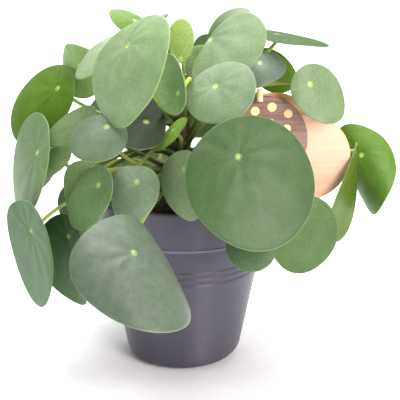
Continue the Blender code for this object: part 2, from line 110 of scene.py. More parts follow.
# Each leaf's green, set to how bright the leaf looks where it sits, so it holds painted light and
# shade besides the leaf's own tone; and how much of it the pale bloom covers, wax and painted sheen
# together.
LEAF_TONES_AND_PAINTED_LIGHT = {
    "leaf_front_right_largest": ("#3a5629", 0.35),
    "leaf_front_left_folded": ("#414f41", 0.8),
    "leaf_left_lower_long": ("#37602a", 0.2),
    "leaf_left_middle_long": ("#597742", 0.6),
    "leaf_left_lower_inner": ("#25500f", 0.0),
    "leaf_left_inner_oval": ("#678555", 0.25),
    "leaf_left_inner_small": ("#5d7346", 0.1),
    "leaf_left_inner_behind": ("#82a366", 0.2),
    "leaf_left_middle_low": ("#a9c084", 0.4),
    "leaf_left_middle_inner": ("#5c733c", 0.5),
    "leaf_centre_left_pale": ("#475c3d", 0.6),
    # Painted shade: this leaf sits under the crown, and its green is painted dark for that shade.
    "leaf_centre_left_shaded": ("#152b0a", 0.0),
    "leaf_front_centre_left": ("#7b9072", 0.5),
    "leaf_front_centre": ("#859c74", 0.3),
    "leaf_front_under": ("#48623f", 0.2),
    "leaf_right_lower": ("#4a6531", 0.2),
    "leaf_right_round": ("#70895d", 0.3),
    "leaf_right_far": ("#547526", 0.0),
    "leaf_right_edge_on": ("#4a620a", 0.2),
    "leaf_right_upper_grey": ("#576758", 0.7),
    "leaf_right_upper_dark": ("#55781f", 0.0),
    "leaf_right_top_level": ("#2c4c12", 0.0),
    "leaf_left_upper_outer": ("#50701c", 0.0),
    "leaf_left_upper_curled": ("#8aab63", 0.2),
    "leaf_crown_far_left": ("#55791c", 0.1),
    "leaf_crown_left_large": ("#829c6a", 0.3),
    "leaf_crown_left_pale": ("#7e9468", 0.5),
    "leaf_crown_right_large": ("#72895d", 0.5),
    "leaf_crown_right_behind": ("#5d7447", 0.4),
    "leaf_crown_back_sliver": ("#5d7447", 0.5),
    "leaf_crown_centre_narrow": ("#89a16f", 0.1),
    "leaf_crown_young_upright": ("#98b163", 0.0),
    "leaf_centre_crescent": ("#709330", 0.0),
    "leaf_centre_upper": ("#74915a", 0.1),
    "leaf_centre_right_pale": ("#677d58", 0.6),
}
BACK_LEAF_TONE = ("#5d7447", 0.3)

# Pot.
POT_AROUND = 144
POT_WALL_MM = 1.5
POT_FLOOR_MM = 2.0
POT_FOOT_MM = 36.5
CORNER_MM = 11.0
STAND_MM = (14.0, 13.2, 0.6)  # where the hollow ends and the foot ring starts; its height
LIP_TALL_MM = 3.0
LIP_PROUD_MM = 0.9
LIP_ROUND_MM = 0.8
LIP_INNER_ROUND_MM = 0.6
BEAD_MM = (89.0, 3.0, 0.9)  # height of its middle, width and how far it stands proud
BEAD_HIGHLIGHT_Z_MM = 89.7  # the painted highlight on the bead is brightest a little above its middle
GROOVES_MM = (65.5, 70.0, 74.5)
GROOVE_WIDE_MM = 2.4
GROOVE_DEEP_MM = 0.6
DRAIN_HOLES = 6
DRAIN_MM = 4.0  # a drain hole's radius
DRAIN_CIRCLE_MM = 17.0  # how far the holes stand from the pot's middle
DRILL_AROUND = 32
DRILL_MM = (-3.0, 6.0)  # from below the pot's floor to above it
SHARP_DEG = 50

# Soil.
SOIL_AROUND = 120
SOIL_SIDE = ((0, 0.48), (0.02, 0.4904), (0.12, 0.5424), (0.3, 0.734), (0.6, 0.848), (0.9, 0.962))
SOIL_SIDE_MM = 3.2  # the side: shares of its height and reach, up to this far below the top
SOIL_RINGS = 44
SOIL_RINGS_REACH = 0.97  # how far in the last of them lies, as a share
SOIL_EDGE_MM = 2.6  # how far the soil's edge lies below its highest point
SOIL_MOUND_MM = 1.9
LUMPS_MM = (-1.6, 0.95)  # the lowest and the highest lump
LUMP_WAVES_MM = (
    (31, 0.5), (23, 0.45), (14, 0.4), (11, 0.4), (8.3, 0.35),
    (6.4, 0.35), (5.1, 0.3), (4.2, 0.28), (3.4, 0.25), (2.9, 0.22),
)  # length and height
CRUMBS = 420
CRUMB_MM = (0.5, 1.5)
CRUMB_SPREAD = (0.03, 0.9)  # shares of the soil's area, from its middle out
CRUMB_ROUGH = (0.6, 1.25)
CRUMB_FLAT = 0.7
CRUMB_LIFT = 0.2

# Stem.
STEM_AROUND = 40
STEM_RINGS = 110
STEM_TAPER_Z = (0.106, 0.17)
STEM_TAPERS = 0.0022
STEM_INSET = 0.0005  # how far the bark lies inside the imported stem, between the scars
STEM_BODY_ENDS = 0.0035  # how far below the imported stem's top the rings end
STEM_TIP_ENDS = 0.0012
TIP_RINGS = 4
TIP_CLOSES = 0.12
SCAR_MM = 1.7
SCAR_PROUD = 0.0007
SCAR_FLAT = 1.4  # how many times wider than tall a scar is
RIDGES = ((7, 900), (5, -1500), (11, 2600))  # how many go round the stem, and their slant
RIDGE_PROUD = 0.000132
STIPULE_MM = (4.2, 1.7)
STIPULE_THICK = 0.00035
STIPULE_CURL = 0.0006
STIPULE_ROOT = (-0.0009, 0.0011)  # outwards and up from the foot of its stalk
STIPULE_LEAN = (0.25, 0.6)
STIPULE_ROWS = ((0.0, 0.8), (0.35, 1.0), (0.7, 0.6))  # share of the height and of the width

# Ornament.
DISC_AROUND = 128
DISC_EASE_MM = 0.6
ROD_AROUND = 32
DOT_AROUND = 40
DOT_MM = 2.9
DOT_PROUD_MM = 0.18
DOT_SUNK_MM = 0.1
# An enamel dot's section: shares of its radius and of how far it stands proud.
DOT_SECTION = ((1.0, 0.35), (0.93, 0.8), (0.8, 1.0), (0.4, 0.92), (0.0, 0.9))
# Dots on the spotted disc: how far from its middle, the way from straight up towards
# the right in degrees, and the size as a share of the usual.
DOTS = (
    (0.69, -17, 1.0), (0.77, 13, 1.0), (0.81, 42, 0.95), (0.42, 23, 0.9), (0.58, 63, 0.9),
    (0.42, -44, 0.9), (0.75, -60, 1.0), (0.3, 140, 1.0), (0.72, -105, 0.95),
    (0.7, 125, 1.0), (0.68, 165, 1.0), (0.74, -150, 1.05), (0.28, -125, 0.85), (0.12, 20, 0.8),
)


# ---- materials


def linear(hex_colour):
    """An sRGB hex colour as linear red, green, blue and a full alpha."""
    channels = [int(hex_colour[i:i + 2], 16) / 255 for i in (1, 3, 5)]
    return [c / 12.92 if c <= 0.04045 else ((c + 0.055) / 1.055) ** 2.4 for c in channels] + [1.0]


def add(tree, kind, settings=None, inputs=()):
    """Adds a shader node with its settings. The inputs go by name or number, or in order:
    each is a value, a hex colour, or the output or the node that feeds it."""
    made = tree.nodes.new("ShaderNode" + kind)
    for name, value in (settings or {}).items():
        setattr(made, name, value)
    for name, value in inputs.items() if isinstance(inputs, dict) else enumerate(inputs):
        if isinstance(value, bpy.types.Node):
            value = next(output for output in value.outputs if output.enabled)
        if isinstance(value, bpy.types.NodeSocket):
            tree.links.new(value, made.inputs[name])
        else:
            made.inputs[name].default_value = linear(value) if isinstance(value, str) else value
    return made


# Settings that many nodes share. A range's inputs are a value, from where to where it
# goes, and the result at either end; a mix's are its share, 6 the first and 7 the second.
EASED = {"interpolation_type": "SMOOTHSTEP"}
COLOUR = {"data_type": "RGBA"}
TINTED = {"data_type": "RGBA", "blend_type": "MULTIPLY"}
TIMES = {"operation": "MULTIPLY"}
TIMES_PLUS = {"operation": "MULTIPLY_ADD"}


def new_material(name):
    material = bpy.data.materials.new(name)
    material.use_nodes = True
    material.node_tree.nodes.clear()
    return material, material.node_tree


def surfaced(material, sockets):
    """The material with a Principled surface; a socket is a value, or what feeds it."""
    tree = material.node_tree
    add(tree, "OutputMaterial", {}, (add(tree, "BsdfPrincipled", {}, sockets),))
    return material


def mottled_green(tree, tone, mottle, place):
    """A leaf's own green, varied by a fine mottle and by patches 14 mm across."""
    patch = add(tree, "TexNoise", {}, {"Vector": place, "Scale": 1 / 14.0, "Detail": 2.0})
    lighter = add(tree, "Mix", TINTED, {0: 1.0, 6: tone, 7: (1.24, 1.14, 1.26, 1.0)})
    darker = add(tree, "Mix", TINTED, {0: 1.0, 6: tone, 7: (0.75, 0.83, 0.7, 1.0)})
    speckles = add(tree, "MapRange", EASED, (mottle, 0.38, 0.66))
    patches = add(tree, "MapRange", EASED, (patch, 0.3, 0.7))
    half = add(tree, "Math", TIMES, (patches, 0.5))
    both = add(tree, "Math", TIMES_PLUS, (speckles, 0.5, half))
    return add(tree, "Mix", COLOUR, {0: both, 6: darker, 7: lighter})


def main_veins(tree, place, away):
    """1 on a main vein and 0 half a millimetre beside it, fading on the way out."""
    flat = add(tree, "SeparateXYZ", {}, (place,))
    turn = add(tree, "Math", {"operation": "ARCTAN2"}, (flat.outputs["Y"], flat.outputs["X"]))
    # The veins sway by up to a radian, in bends about 18 mm long.
    sway = add(tree, "TexNoise", {}, {"Vector": place, "Scale": 1 / 18.0, "Detail": 1.0})
    swayed = add(tree, "Math", TIMES_PLUS, (sway, 1.1, turn))
    share = add(tree, "Math", TIMES, (swayed, VEINS / FULL_TURN))
    cell = add(tree, "Math", {"operation": "PINGPONG"}, (share, 0.5))
    aside = add(tree, "Math", TIMES, (cell, away))
    width = add(tree, "MapRange", EASED, (aside, 0.0, 0.5, 1.0, 0.0))
    fade = add(tree, "MapRange", {}, (away, 2.0, 20.0, 1.0, 0.25))
    return add(tree, "Math", TIMES, (width, fade))


def stalk_green(tree, stalk):
    """Yellow-green with straw-coloured blotches, painted darker towards the stem as shade in the
    crowded middle of the plant.
    """
    # Drawn over the whole leaf's box, mostly near 60 mm, so a blotch is about 0.15 mm.
    blotches = add(tree, "TexNoise", {}, {"Scale": 400.0, "Detail": 3.0})
    blotch = add(tree, "MapRange", {}, (blotches, 0.35, 0.75, 0.0, 0.35))
    plain = add(tree, "Mix", COLOUR, {0: blotch, 6: "#9fb25a", 7: "#b3a768"})
    # Painted shade: darker where the stalk nears the stem.
    foot = add(tree, "MapRange", EASED, (stalk, 1.3, 1.9))
    return add(tree, "Mix", COLOUR, {0: foot, 6: plain, 7: "#485226"})


def leaf_tissue():
    """Living money plant leaf: a fleshy blade under a thin wax. It gives the eye a soft
    sky-like sheen, partly painted in as a pale bloom, pale rays from a bright eye, a fine
    mottle and a painted highlight along the rim, and lets some light through from behind."""
    material, tree = new_material("money_plant_leaf_waxed")
    # The leaf's green, with the painted light and shade of where it sits.
    tone = add(tree, "Attribute", {"attribute_name": "leaf_lit_tone"}).outputs["Color"]
    place = add(tree, "Attribute", {"attribute_name": "leaf_place"}).outputs["Vector"]
    bloom, edge, under, stalk, mark = (
        add(tree, "Attribute", {"attribute_name": "leaf_" + noted}).outputs["Fac"]
        for noted in ("bloom", "edge", "under", "stalk", "mark")
    )

    # Places on a blade are millimetres, so a pattern of 1 / N has features N mm across.
    away = add(tree, "VectorMath", {"operation": "LENGTH"}, (place,))
    mottle = add(tree, "TexNoise", {}, {
        "Vector": place, "Scale": 1 / 1.6, "Detail": 3.0, "Roughness": 0.6})
    vein = main_veins(tree, place, away)
    veined = add(tree, "Math", TIMES, (vein, 0.34))
    paler = add(tree, "Mix", TINTED, {0: 1.0, 6: tone, 7: (2.2, 1.7, 2.2, 1.0)})
    green = mottled_green(tree, tone, mottle, place)
    colour = add(tree, "Mix", COLOUR, {0: veined, 6: green, 7: paler})

    # The pale bloom, wax and painted sheen together, lies thinner and thicker in patches.
    bloom_sheen_patch = add(tree, "TexNoise", {}, {
        "Vector": place, "Scale": 1 / 6.0, "Detail": 4.0, "Roughness": 0.65})
    bloom_sheen_thick = add(tree, "MapRange", EASED, (bloom_sheen_patch, 0.3, 0.75, 0.18, 0.38))
    wax = add(tree, "Math", TIMES, (bloom_sheen_thick, bloom))
    colour = add(tree, "Mix", COLOUR, {0: wax, 6: colour, 7: "#86977f"})
    # The eye, where the stalk meets the blade from below, is paler, and the rim carries a painted
    # highlight.
    eye = add(tree, "MapRange", EASED, (away, 0.2, 2.6, 0.85, 0.0))
    colour = add(tree, "Mix", COLOUR, {0: eye, 6: colour, 7: "#c2dd80"})
    # Painted highlight: a thin lighter line along the edge, where light catches it.
    rim = add(tree, "MapRange", EASED, (edge, 0.982, 1.0, 0.0, 0.4))
    colour = add(tree, "Mix", COLOUR, {0: rim, 6: colour, 7: "#8ba36f"})

    underside = add(tree, "Mix", COLOUR, {0: 0.45, 6: colour, 7: "#8fa57c"})
    colour = add(tree, "Mix", COLOUR, {0: under, 6: colour, 7: underside})
    on_stalk = add(tree, "Math", {"operation": "MINIMUM"}, (stalk, 1.0))
    colour = add(tree, "Mix", COLOUR, {0: on_stalk, 6: colour, 7: stalk_green(tree, stalk)})
    colour = add(tree, "Mix", COLOUR, {0: mark, 6: colour, 7: "#7a4f22"})

    gloss = add(tree, "MapRange", {}, (mottle, 0.0, 1.0, 0.36, 0.5))
    # The blade is grained in cells about 0.9 mm wide, and sunk along its veins.
    grain = add(tree, "TexNoise", {}, {"Vector": place, "Scale": 1 / 0.9, "Detail": 2.0})
    relief = add(tree, "Math", TIMES_PLUS, (vein, -0.55, grain))
    return surfaced(material, {
        "Base Color": colour,
        "Roughness": add(tree, "Math", TIMES_PLUS, (under, 0.15, gloss)),
        "IOR": 1.45,
        # A thick bloom throws the light back; a leaf with little of it looks deeper green.
        "Specular IOR Level": add(tree, "Math", TIMES_PLUS, (bloom, 0.45, 0.12)),
        "Subsurface Weight": 0.55,
        "Subsurface Radius": (0.5, 1.0, 0.25),
        "Subsurface Scale": 0.0016,
        "Coat Weight": 0.05,
        "Coat Roughness": 0.45,
        "Normal": add(tree, "Bump", {}, {"Strength": 0.55, "Distance": 0.00018, "Height": relief}),
    })


def pot_plastic():
    """Anthracite polypropylene, injection moulded with a fine spark-eroded texture. It
    gives the eye a broad, soft highlight and a faint cloudiness from handling."""
    material, tree = new_material("anthracite_polypropylene_moulded")
    place = add(tree, "TexCoord").outputs["Object"]
    cloud = add(tree, "TexNoise", {}, {
        "Vector": place, "Scale": 1 / 0.03, "Detail": 4.0, "Roughness": 0.6})
    colour = add(tree, "Mix", COLOUR, {0: cloud, 6: "#393943", 7: "#44434e"})
    # Dusty scuffs run up and down the wall.
    drawn = add(tree, "Mapping", {}, {"Vector": place, "Scale": (1.0, 1.0, 0.15)})
    scuff = add(tree, "TexNoise", {}, {"Vector": drawn, "Scale": 1 / 0.0012, "Detail": 2.0})
    dusty = add(tree, "MapRange", EASED, (scuff, 0.62, 0.8, 0.0, 0.25))
    colour = add(tree, "Mix", COLOUR, {0: dusty, 6: colour, 7: "#585864"})
    # A painted highlight: the top of the bead is painted lighter, where light from above catches it.
    tall = add(tree, "SeparateXYZ", {}, (place,)).outputs["Z"]
    off_bead = add(tree, "Math", {"operation": "SUBTRACT"}, (tall, BEAD_HIGHLIGHT_Z_MM * MM))
    off_bead = add(tree, "Math", {"operation": "ABSOLUTE"}, (off_bead,))
    bead_highlight = add(tree, "MapRange", EASED, (off_bead, 0.0003, 0.0013, 0.75, 0.0))
    colour = add(tree, "Mix", COLOUR, {0: bead_highlight, 6: colour, 7: "#74737f"})
    # The texture's grit is about 0.15 mm; it is drawn at 0.5 mm so that it shows.
    grit = add(tree, "TexNoise", {}, {"Vector": place, "Scale": 1 / 0.0005, "Detail": 2.0})
    return surfaced(material, {
        "Base Color": colour,
        "Roughness": add(tree, "MapRange", {}, (cloud, 0.0, 1.0, 0.36, 0.46)),
        "IOR": 1.49,
        "Specular IOR Level": 0.55,
        "Anisotropic": 0.85,
        "Anisotropic Rotation": 0.25,
        "Tangent": add(tree, "Tangent", {"direction_type": "RADIAL", "axis": "Z"}),
        "Normal": add(tree, "Bump", {}, {"Strength": 0.25, "Distance": 0.00005, "Height": grit}),
    })


def peat():
    """Moist black peat with fibres: nearly matt, in dark crumbs with a few rusty ones."""
    material, tree = new_material("black_peat_crumbled")
    place = add(tree, "TexCoord").outputs["Object"]
    # Crumbs about 2 mm across, and fibres 0.9 mm long.
    crumb = add(tree, "TexVoronoi", {}, {"Vector": place, "Scale": 1 / 0.0022})
    fibre = add(tree, "TexNoise", {}, {"Vector": place, "Scale": 1 / 0.0009, "Detail": 5.0})
    shade = add(tree, "ValToRGB", {}, (crumb,))
    ramp = shade.color_ramp.elements
    ramp[0].color, ramp[1].color = linear("#3d2f25"), linear("#191310")
    rusty = add(tree, "MapRange", EASED, (fibre, 0.6, 0.78, 0.0, 0.6))
    return surfaced(material, {
        "Base Color": add(tree, "Mix", COLOUR, {0: rusty, 6: shade, 7: "#6b4a30"}),
        "Roughness": 0.92,
        "IOR": 1.4,
        "Normal": add(tree, "Bump", {}, {"Strength": 0.8, "Distance": 0.0006, "Height": fibre}),
    })


def stem_bark():
    """Young corky bark, brown in its fissures and greener towards the top of the stem."""
    material, tree = new_material("corky_stem_bark")
    place = add(tree, "TexCoord").outputs["Object"]
    # Fissures stand about 1 mm apart, drawn out 3 times along the stem.
    drawn = add(tree, "Mapping", {}, {"Vector": place, "Scale": (1.0, 1.0, 0.3)})
    fissure = add(tree, "TexNoise", {}, {
        "Vector": drawn, "Scale": 1 / 0.0011, "Detail": 5.0, "Roughness": 0.65})
    cork = add(tree, "Mix", COLOUR, {0: fissure, 6: "#2b2417", 7: "#5c5236"})
    height = add(tree, "SeparateXYZ", {}, (place,)).outputs["Z"]
    young = add(tree, "MapRange", EASED, (height, 0.135, 0.172, 0.0, 0.75))
    return surfaced(material, {
        "Base Color": add(tree, "Mix", COLOUR, {0: young, 6: cork, 7: "#5f6f34"}),
        "Roughness": 0.75,
        "IOR": 1.45,
        "Normal": add(tree, "Bump", {}, {"Strength": 0.6, "Distance": 0.0004, "Height": fissure}),
    })


def stipule_paper():
    """Dry papery stipules: thin brown scales, mottled lighter in spots 0.6 mm across."""
    material, tree = new_material("dry_stipule_scale")
    place = add(tree, "TexCoord").outputs["Object"]
    spot = add(tree, "TexNoise", {}, {"Vector": place, "Scale": 1 / 0.0006, "Detail": 3.0})
    colour = add(tree, "Mix", COLOUR, {0: spot, 6: "#5b3c24", 7: "#a9814f"})
    return surfaced(material, {"Base Color": colour, "Roughness": 0.7, "IOR": 1.4})


def stained_wood(name, dark, light, grain_axis, roughness):
    """Thin birch plywood under a thinned stain: satin, with the grain just showing."""
    material, tree = new_material(name)
    place = add(tree, "TexCoord").outputs["Object"]
    # Growth rings stand 1.5 to 3 mm apart, drawn out 12 times along the grain.
    scale = [1 / 12 if axis == grain_axis else 1.0 for axis in "XYZ"]
    drawn = add(tree, "Mapping", {}, {"Vector": place, "Scale": scale})
    rings = add(tree, "TexNoise", {}, {
        "Vector": drawn, "Scale": 1 / 0.0022, "Detail": 4.0, "Roughness": 0.55})
    pores = add(tree, "TexNoise", {}, {"Vector": drawn, "Scale": 1 / 0.0005, "Detail": 2.0})
    banded = add(tree, "MapRange", EASED, (rings, 0.3, 0.7))
    gloss = (pores, 0.0, 1.0, roughness - 0.06, roughness + 0.08)
    return surfaced(material, {
        "Base Color": add(tree, "Mix", COLOUR, {0: banded, 6: dark, 7: light}),
        "Roughness": add(tree, "MapRange", {}, gloss),
        "IOR": 1.5,
        "Normal": add(tree, "Bump", {}, {"Strength": 0.35, "Distance": 0.0001, "Height": pores}),
    })


def dot_enamel():
    """Cream enamel, dabbed on in dots: a soft gloss that pools thicker in the middle."""
    material, tree = new_material("cream_enamel_dabbed")
    place = add(tree, "TexCoord").outputs["Object"]
    pool = add(tree, "TexNoise", {}, {"Vector": place, "Scale": 1 / 0.002, "Detail": 2.0})
    colour = add(tree, "Mix", COLOUR, {0: pool, 6: "#f0cf8b", 7: "#f8e2ad"})
    return surfaced(material, {"Base Color": colour, "Roughness": 0.35, "IOR": 1.5})


def seamless_paper():
    """White studio paper: matt and very slightly mottled."""
    material, tree = new_material("white_studio_paper")
    place = add(tree, "TexCoord").outputs["Object"]
    pulp = add(tree, "TexNoise", {}, {"Vector": place, "Scale": 1 / 0.01, "Detail": 3.0})
    colour = add(tree, "Mix", COLOUR, {0: pulp, 6: "#f9fafb", 7: "#fdfdfe"})
    return surfaced(material, {"Base Color": colour, "Roughness": 0.8, "IOR": 1.45})


# ---- meshes


ATTRIBUTE_KINDS = {1: ("FLOAT", "value"), 3: ("FLOAT_VECTOR", "vector"), 4: ("FLOAT_COLOR", "color")}


def new_object(name, data):
    made = bpy.data.objects.new(name, data)
    bpy.context.scene.collection.objects.link(made)
    return made


def new_mesh(name, points, faces):
    mesh = bpy.data.meshes.new(name)
    mesh.from_pydata([tuple(point) for point in points], [], [tuple(face) for face in faces])
    return mesh


def new_piece(name, points, faces, material, replaced, attributes=None, sharp=None):
    """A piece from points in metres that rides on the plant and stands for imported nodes."""
    mesh = new_mesh(name, points, faces)
    mesh.shade_smooth()
    if sharp is not None:
        mesh.set_sharp_from_angle(angle=math.radians(sharp))
    for title, values in (attributes or {}).items():
        values = np.asarray(values, np.float32)
        kind, key = ATTRIBUTE_KINDS[1 if values.ndim == 1 else values.shape[1]]
        mesh.attributes.new(title, kind, "POINT").data.foreach_set(key, values.ravel())
    mesh.materials.append(material)
    piece = new_object(name, mesh)
    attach(piece, "root")
    if replaced:
        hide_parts(*replaced)
    return piece


def strip(near, far):
    """Quads between two closed rings of point numbers, each with as many points."""
    n = len(near)
    return [(near[i], near[(i + 1) % n], far[(i + 1) % n], far[i]) for i in range(n)]


def halving_strip(wide, narrow):
    """Triangles between a closed ring and one with half as many points."""
    made = []
    for i, d in enumerate(narrow):
        a, b, c = wide[2 * i], wide[2 * i + 1], wide[(2 * i + 2) % len(wide)]
        e = narrow[(i + 1) % len(narrow)]
        made += [(a, b, d), (b, e, d), (b, c, e)]
    return made


def fan(centre, ring):
    """Triangles between one point and a closed ring."""
    n = len(ring)
    return [(centre[0], ring[i], ring[(i + 1) % n]) for i in range(n)]


def closed_tube(rings, last):
    """Faces of a tube of equal rings, closed at point 0 and at the last point."""
    faces = fan([0], rings[0][::-1])
    for near, far in zip(rings, rings[1:]):
        faces += strip(near, far)
    return faces + fan([last], rings[-1])


def smoothstep(low, high, value):
    t = np.clip((value - low) / (high - low), 0.0, 1.0)
    return t * t * (3 - 2 * t)


def unit(vectors):
    return vectors / np.maximum(np.linalg.norm(vectors, axis=-1, keepdims=True), 1e-12)


def bell(distance, width):
    """1 at no distance, falling off smoothly over the width."""
    return np.exp(-(distance / width) ** 2)


def weights(knots, places):
    """How much each knot's value counts at each place of a curve through them all."""
    return [np.prod([(places - b) / (a - b) for b in knots if b != a], axis=0) for a in knots]


def round_and_round(samples, count):
    """Closed smooth curves through evenly spaced samples, read at more points."""
    n = len(samples)
    waves = np.fft.rfft(samples, axis=0)
    waves[n // 2] *= 0.5
    return np.fft.irfft(waves, n=count, axis=0) * count / n


# ---- leaves

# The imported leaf's rings of points, counted outwards from the eye: three on the upper
# side, three on the underside, and the rest down the stalk.
UPPER_RINGS = 3
BLADE_RINGS = 6
BLADE_KNOTS = (0.0, 0.40, 0.74, 1.0)  # where the upper ones lie, as shares of the way out
STALK_KNOTS = tuple(np.linspace(0, 1, 6))


def packed_rings(node):
    """The eye of a packed leaf, and its rings of points outwards from there."""
    raw = np.array([v.co for v in node.data.vertices])
    points, number = np.unique(np.round(raw, 6), axis=0, return_inverse=True)
    number = number.reshape(-1)
    near = {}
    for polygon in node.data.polygons:
        corners = [int(number[i]) for i in polygon.vertices]
        for a in corners:
            near.setdefault(a, set()).update(b for b in corners if b != a)
    eye = max(near, key=lambda p: len(near[p]))
    seen, ring, rings = {eye}, {eye}, []
    while True:
        ring = {q for p in ring for q in near[p]} - seen
        if not ring:
            break
        seen |= ring
        rings.append([points[p] for p in in_order(ring, near)])
    return points[eye], [np.array(r) for r in rings]


def in_order(ring, near):
    """A ring's points in the order of a walk round it."""
    walk = [min(ring)]
    left = set(ring) - set(walk)
    while left:
        steps = sorted(near[walk[-1]] & left) or sorted(left)
        walk.append(steps[0])
        left.discard(steps[0])
    return walk


def lined_up(ring, guide):
    """A ring turned, and reversed if need be, so that its points lie nearest the guide's."""
    options = [np.roll(way, k, axis=0) for way in (ring, ring[::-1]) for k in range(len(ring))]
    return min(options, key=lambda option: np.linalg.norm(option - guide, axis=1).sum())


class Blade:
    """The smooth upper side of a leaf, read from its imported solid."""

    def __init__(self, node):
        self.eye, rings = packed_rings(node)
        self.stalk = np.array([ring.mean(axis=0) for ring in rings[BLADE_RINGS:]])[::-1]
        upper = rings[:UPPER_RINGS]
        out = self.eye - self.stalk[-1]
        first = upper[0] - self.eye
        if np.cross(first, np.roll(first, -1, axis=0)).sum(axis=0) @ out < 0:
            upper[0] = upper[0][::-1]
        for k in range(1, UPPER_RINGS):
            upper[k] = lined_up(upper[k], upper[k - 1])
        tip = int(np.argmax(np.linalg.norm(upper[-1] - self.eye, axis=1)))
        knots = [round_and_round(np.roll(ring, -tip, axis=0), AROUND) for ring in upper]
        self.knots = np.array([np.broadcast_to(self.eye, knots[0].shape), *knots])
        runs = np.linalg.norm(np.diff(self.knots, axis=0), axis=2)
        self.reach = runs.sum(axis=0)  # from the eye to the edge, along the blade
        spokes = self.knots[1] - self.eye
        self.normal = unit(np.cross(spokes, np.roll(spokes, -1, axis=0)).sum(axis=0))
        self.along = unit(spokes[0] - self.normal * (spokes[0] @ self.normal))
        right = np.cross(self.normal, self.along)
        self.turn = np.unwrap(np.arctan2(spokes @ right, spokes @ self.along))

    def at(self, shares):
        """Points, one row of AROUND for each row of shares of the way out."""
        return np.einsum("krj,kjx->rjx", np.stack(weights(BLADE_KNOTS, shares)), self.knots)

    def relief(self, shares, draw):
        """How far the upper side stands proud of the smooth blade, in metres."""
        away = shares * self.reach / MM
        size = self.reach.mean() / MM / USUAL_REACH_MM
        turn = self.turn[None, :]
        dimple = -DIMPLE_MM * bell(away, DIMPLE_WIDTH_MM)
        swell = 0.5 - 0.5 * np.cos(VEINS * (turn + draw[0] + VEIN_DRIFT * shares))
        inside = smoothstep(*QUILT_STARTS_MM, away) * (1 - smoothstep(*QUILT_ENDS, shares))
        wave = sum(
            weight * np.sin(k * turn + phase) for (k, weight), phase in zip(EDGE_WAVES, draw[1:])
        )
        margin = WAVE_MM * min(size, MOST_WAVE) * wave * shares ** 3
        return (dimple + QUILT_MM * size * swell * inside + margin) * MM


def surface_normals(grid):
    """Normals of rows of closed rings that run outwards from the eye."""
    out = np.gradient(grid, axis=0)
    turning = np.roll(grid, -1, axis=1) - np.roll(grid, 1, axis=1)
    return unit(np.cross(out, turning))


class LeafMesh:
    """A leaf's mesh as it grows, with what the finish needs to know of each point: its
    place in the pattern, its share of the way to the edge, whether it lies on the
    underside, and how far down the stalk, from 1 at the blade to 2 at the stem."""

    def __init__(self, blade, eye):
        self.blade = blade
        self.points = [eye[None]]
        self.notes = [np.zeros((1, 6))]
        self.last = range(1)
        self.faces = []

    def add_ring(self, positions, place, share, under, stalk, join=strip):
        """Adds a ring of points and joins it to the last one."""
        n = len(positions)
        start = sum(len(p) for p in self.points)
        before, self.last = self.last, range(start, start + n)
        self.points.append(positions)
        noted = [np.broadcast_to(note, (n,)) for note in (share, under, stalk)]
        self.notes.append(np.column_stack([place, *noted]))
        self.faces += join(before, self.last)

    def add_blade_ring(self, positions, share, under=0.0, stalk=0.0, join=strip):
        pick = slice(None, None, AROUND // len(positions))
        away = share * self.blade.reach[pick] / MM
        turn = self.blade.turn[pick]
        lower = np.full(len(turn), UNDER_PLACE_MM * under)
        place = np.stack([away * np.cos(turn), away * np.sin(turn), lower], axis=1)
        self.add_ring(positions, place, share, under, stalk, join)


def grow_blade(mesh, draw):
    """The upper side, the rounded edge and the underside down to the stalk."""
    blade = mesh.blade
    steps = (np.arange(1, OVER + 1) / OVER) ** OVER_SPREAD
    edge_half = EDGE_THICK_MM * MM / 2
    last = 1 - edge_half / blade.reach
    shares = steps[:, None] * last[None, :]
    fine = np.vstack([shares, np.ones((1, AROUND))])
    smooth = blade.at(fine)
    normals = surface_normals(smooth)
    normals[0] = unit(normals[0] + 3 * blade.normal)  # steadier, where the ring is small
    top = smooth + normals * blade.relief(fine, draw)[..., None]
    mesh.add_blade_ring(top[0], shares[0], join=fan)
    for k in range(1, OVER):
        mesh.add_blade_ring(top[k], shares[k])

    outward = unit(top[-1] - top[-2])
    middle = top[-2] - normals[-2] * edge_half
    for k, under in enumerate(RIM, 1):
        angle = math.pi * k / (len(RIM) + 1)
        positions = middle + edge_half * (outward * math.sin(angle) + normals[-2] * math.cos(angle))
        mesh.add_blade_ring(positions, 1.0, under)

    # The underside lies a blade's thickness below, and closes in on the stalk.
    collar = np.minimum(COLLAR_MM * MM / blade.reach, 0.5)
    thick = EYE_THICK_MM * MM - (EYE_THICK_MM - EDGE_THICK_MM) * MM * fine
    bottom = (top - normals * thick[..., None])[:-1]

    def below_at(share):
        """Points of the underside at a share of the way out, by sliding between its rings."""
        return np.array([
            [np.interp(share[j], shares[:, j], bottom[:, j, axis]) for axis in range(3)]
            for j in range(AROUND)
        ])

    for far in UNDER:
        share = collar + (last - collar) * far
        mesh.add_blade_ring(below_at(share), share, 1.0)
    for far, count, stalk in UNDER_INNER:
        share = collar + (last - collar) * far
        pick = slice(None, None, AROUND // count)
        mesh.add_blade_ring(below_at(share)[pick], share[pick], 1.0, stalk, halving_strip)


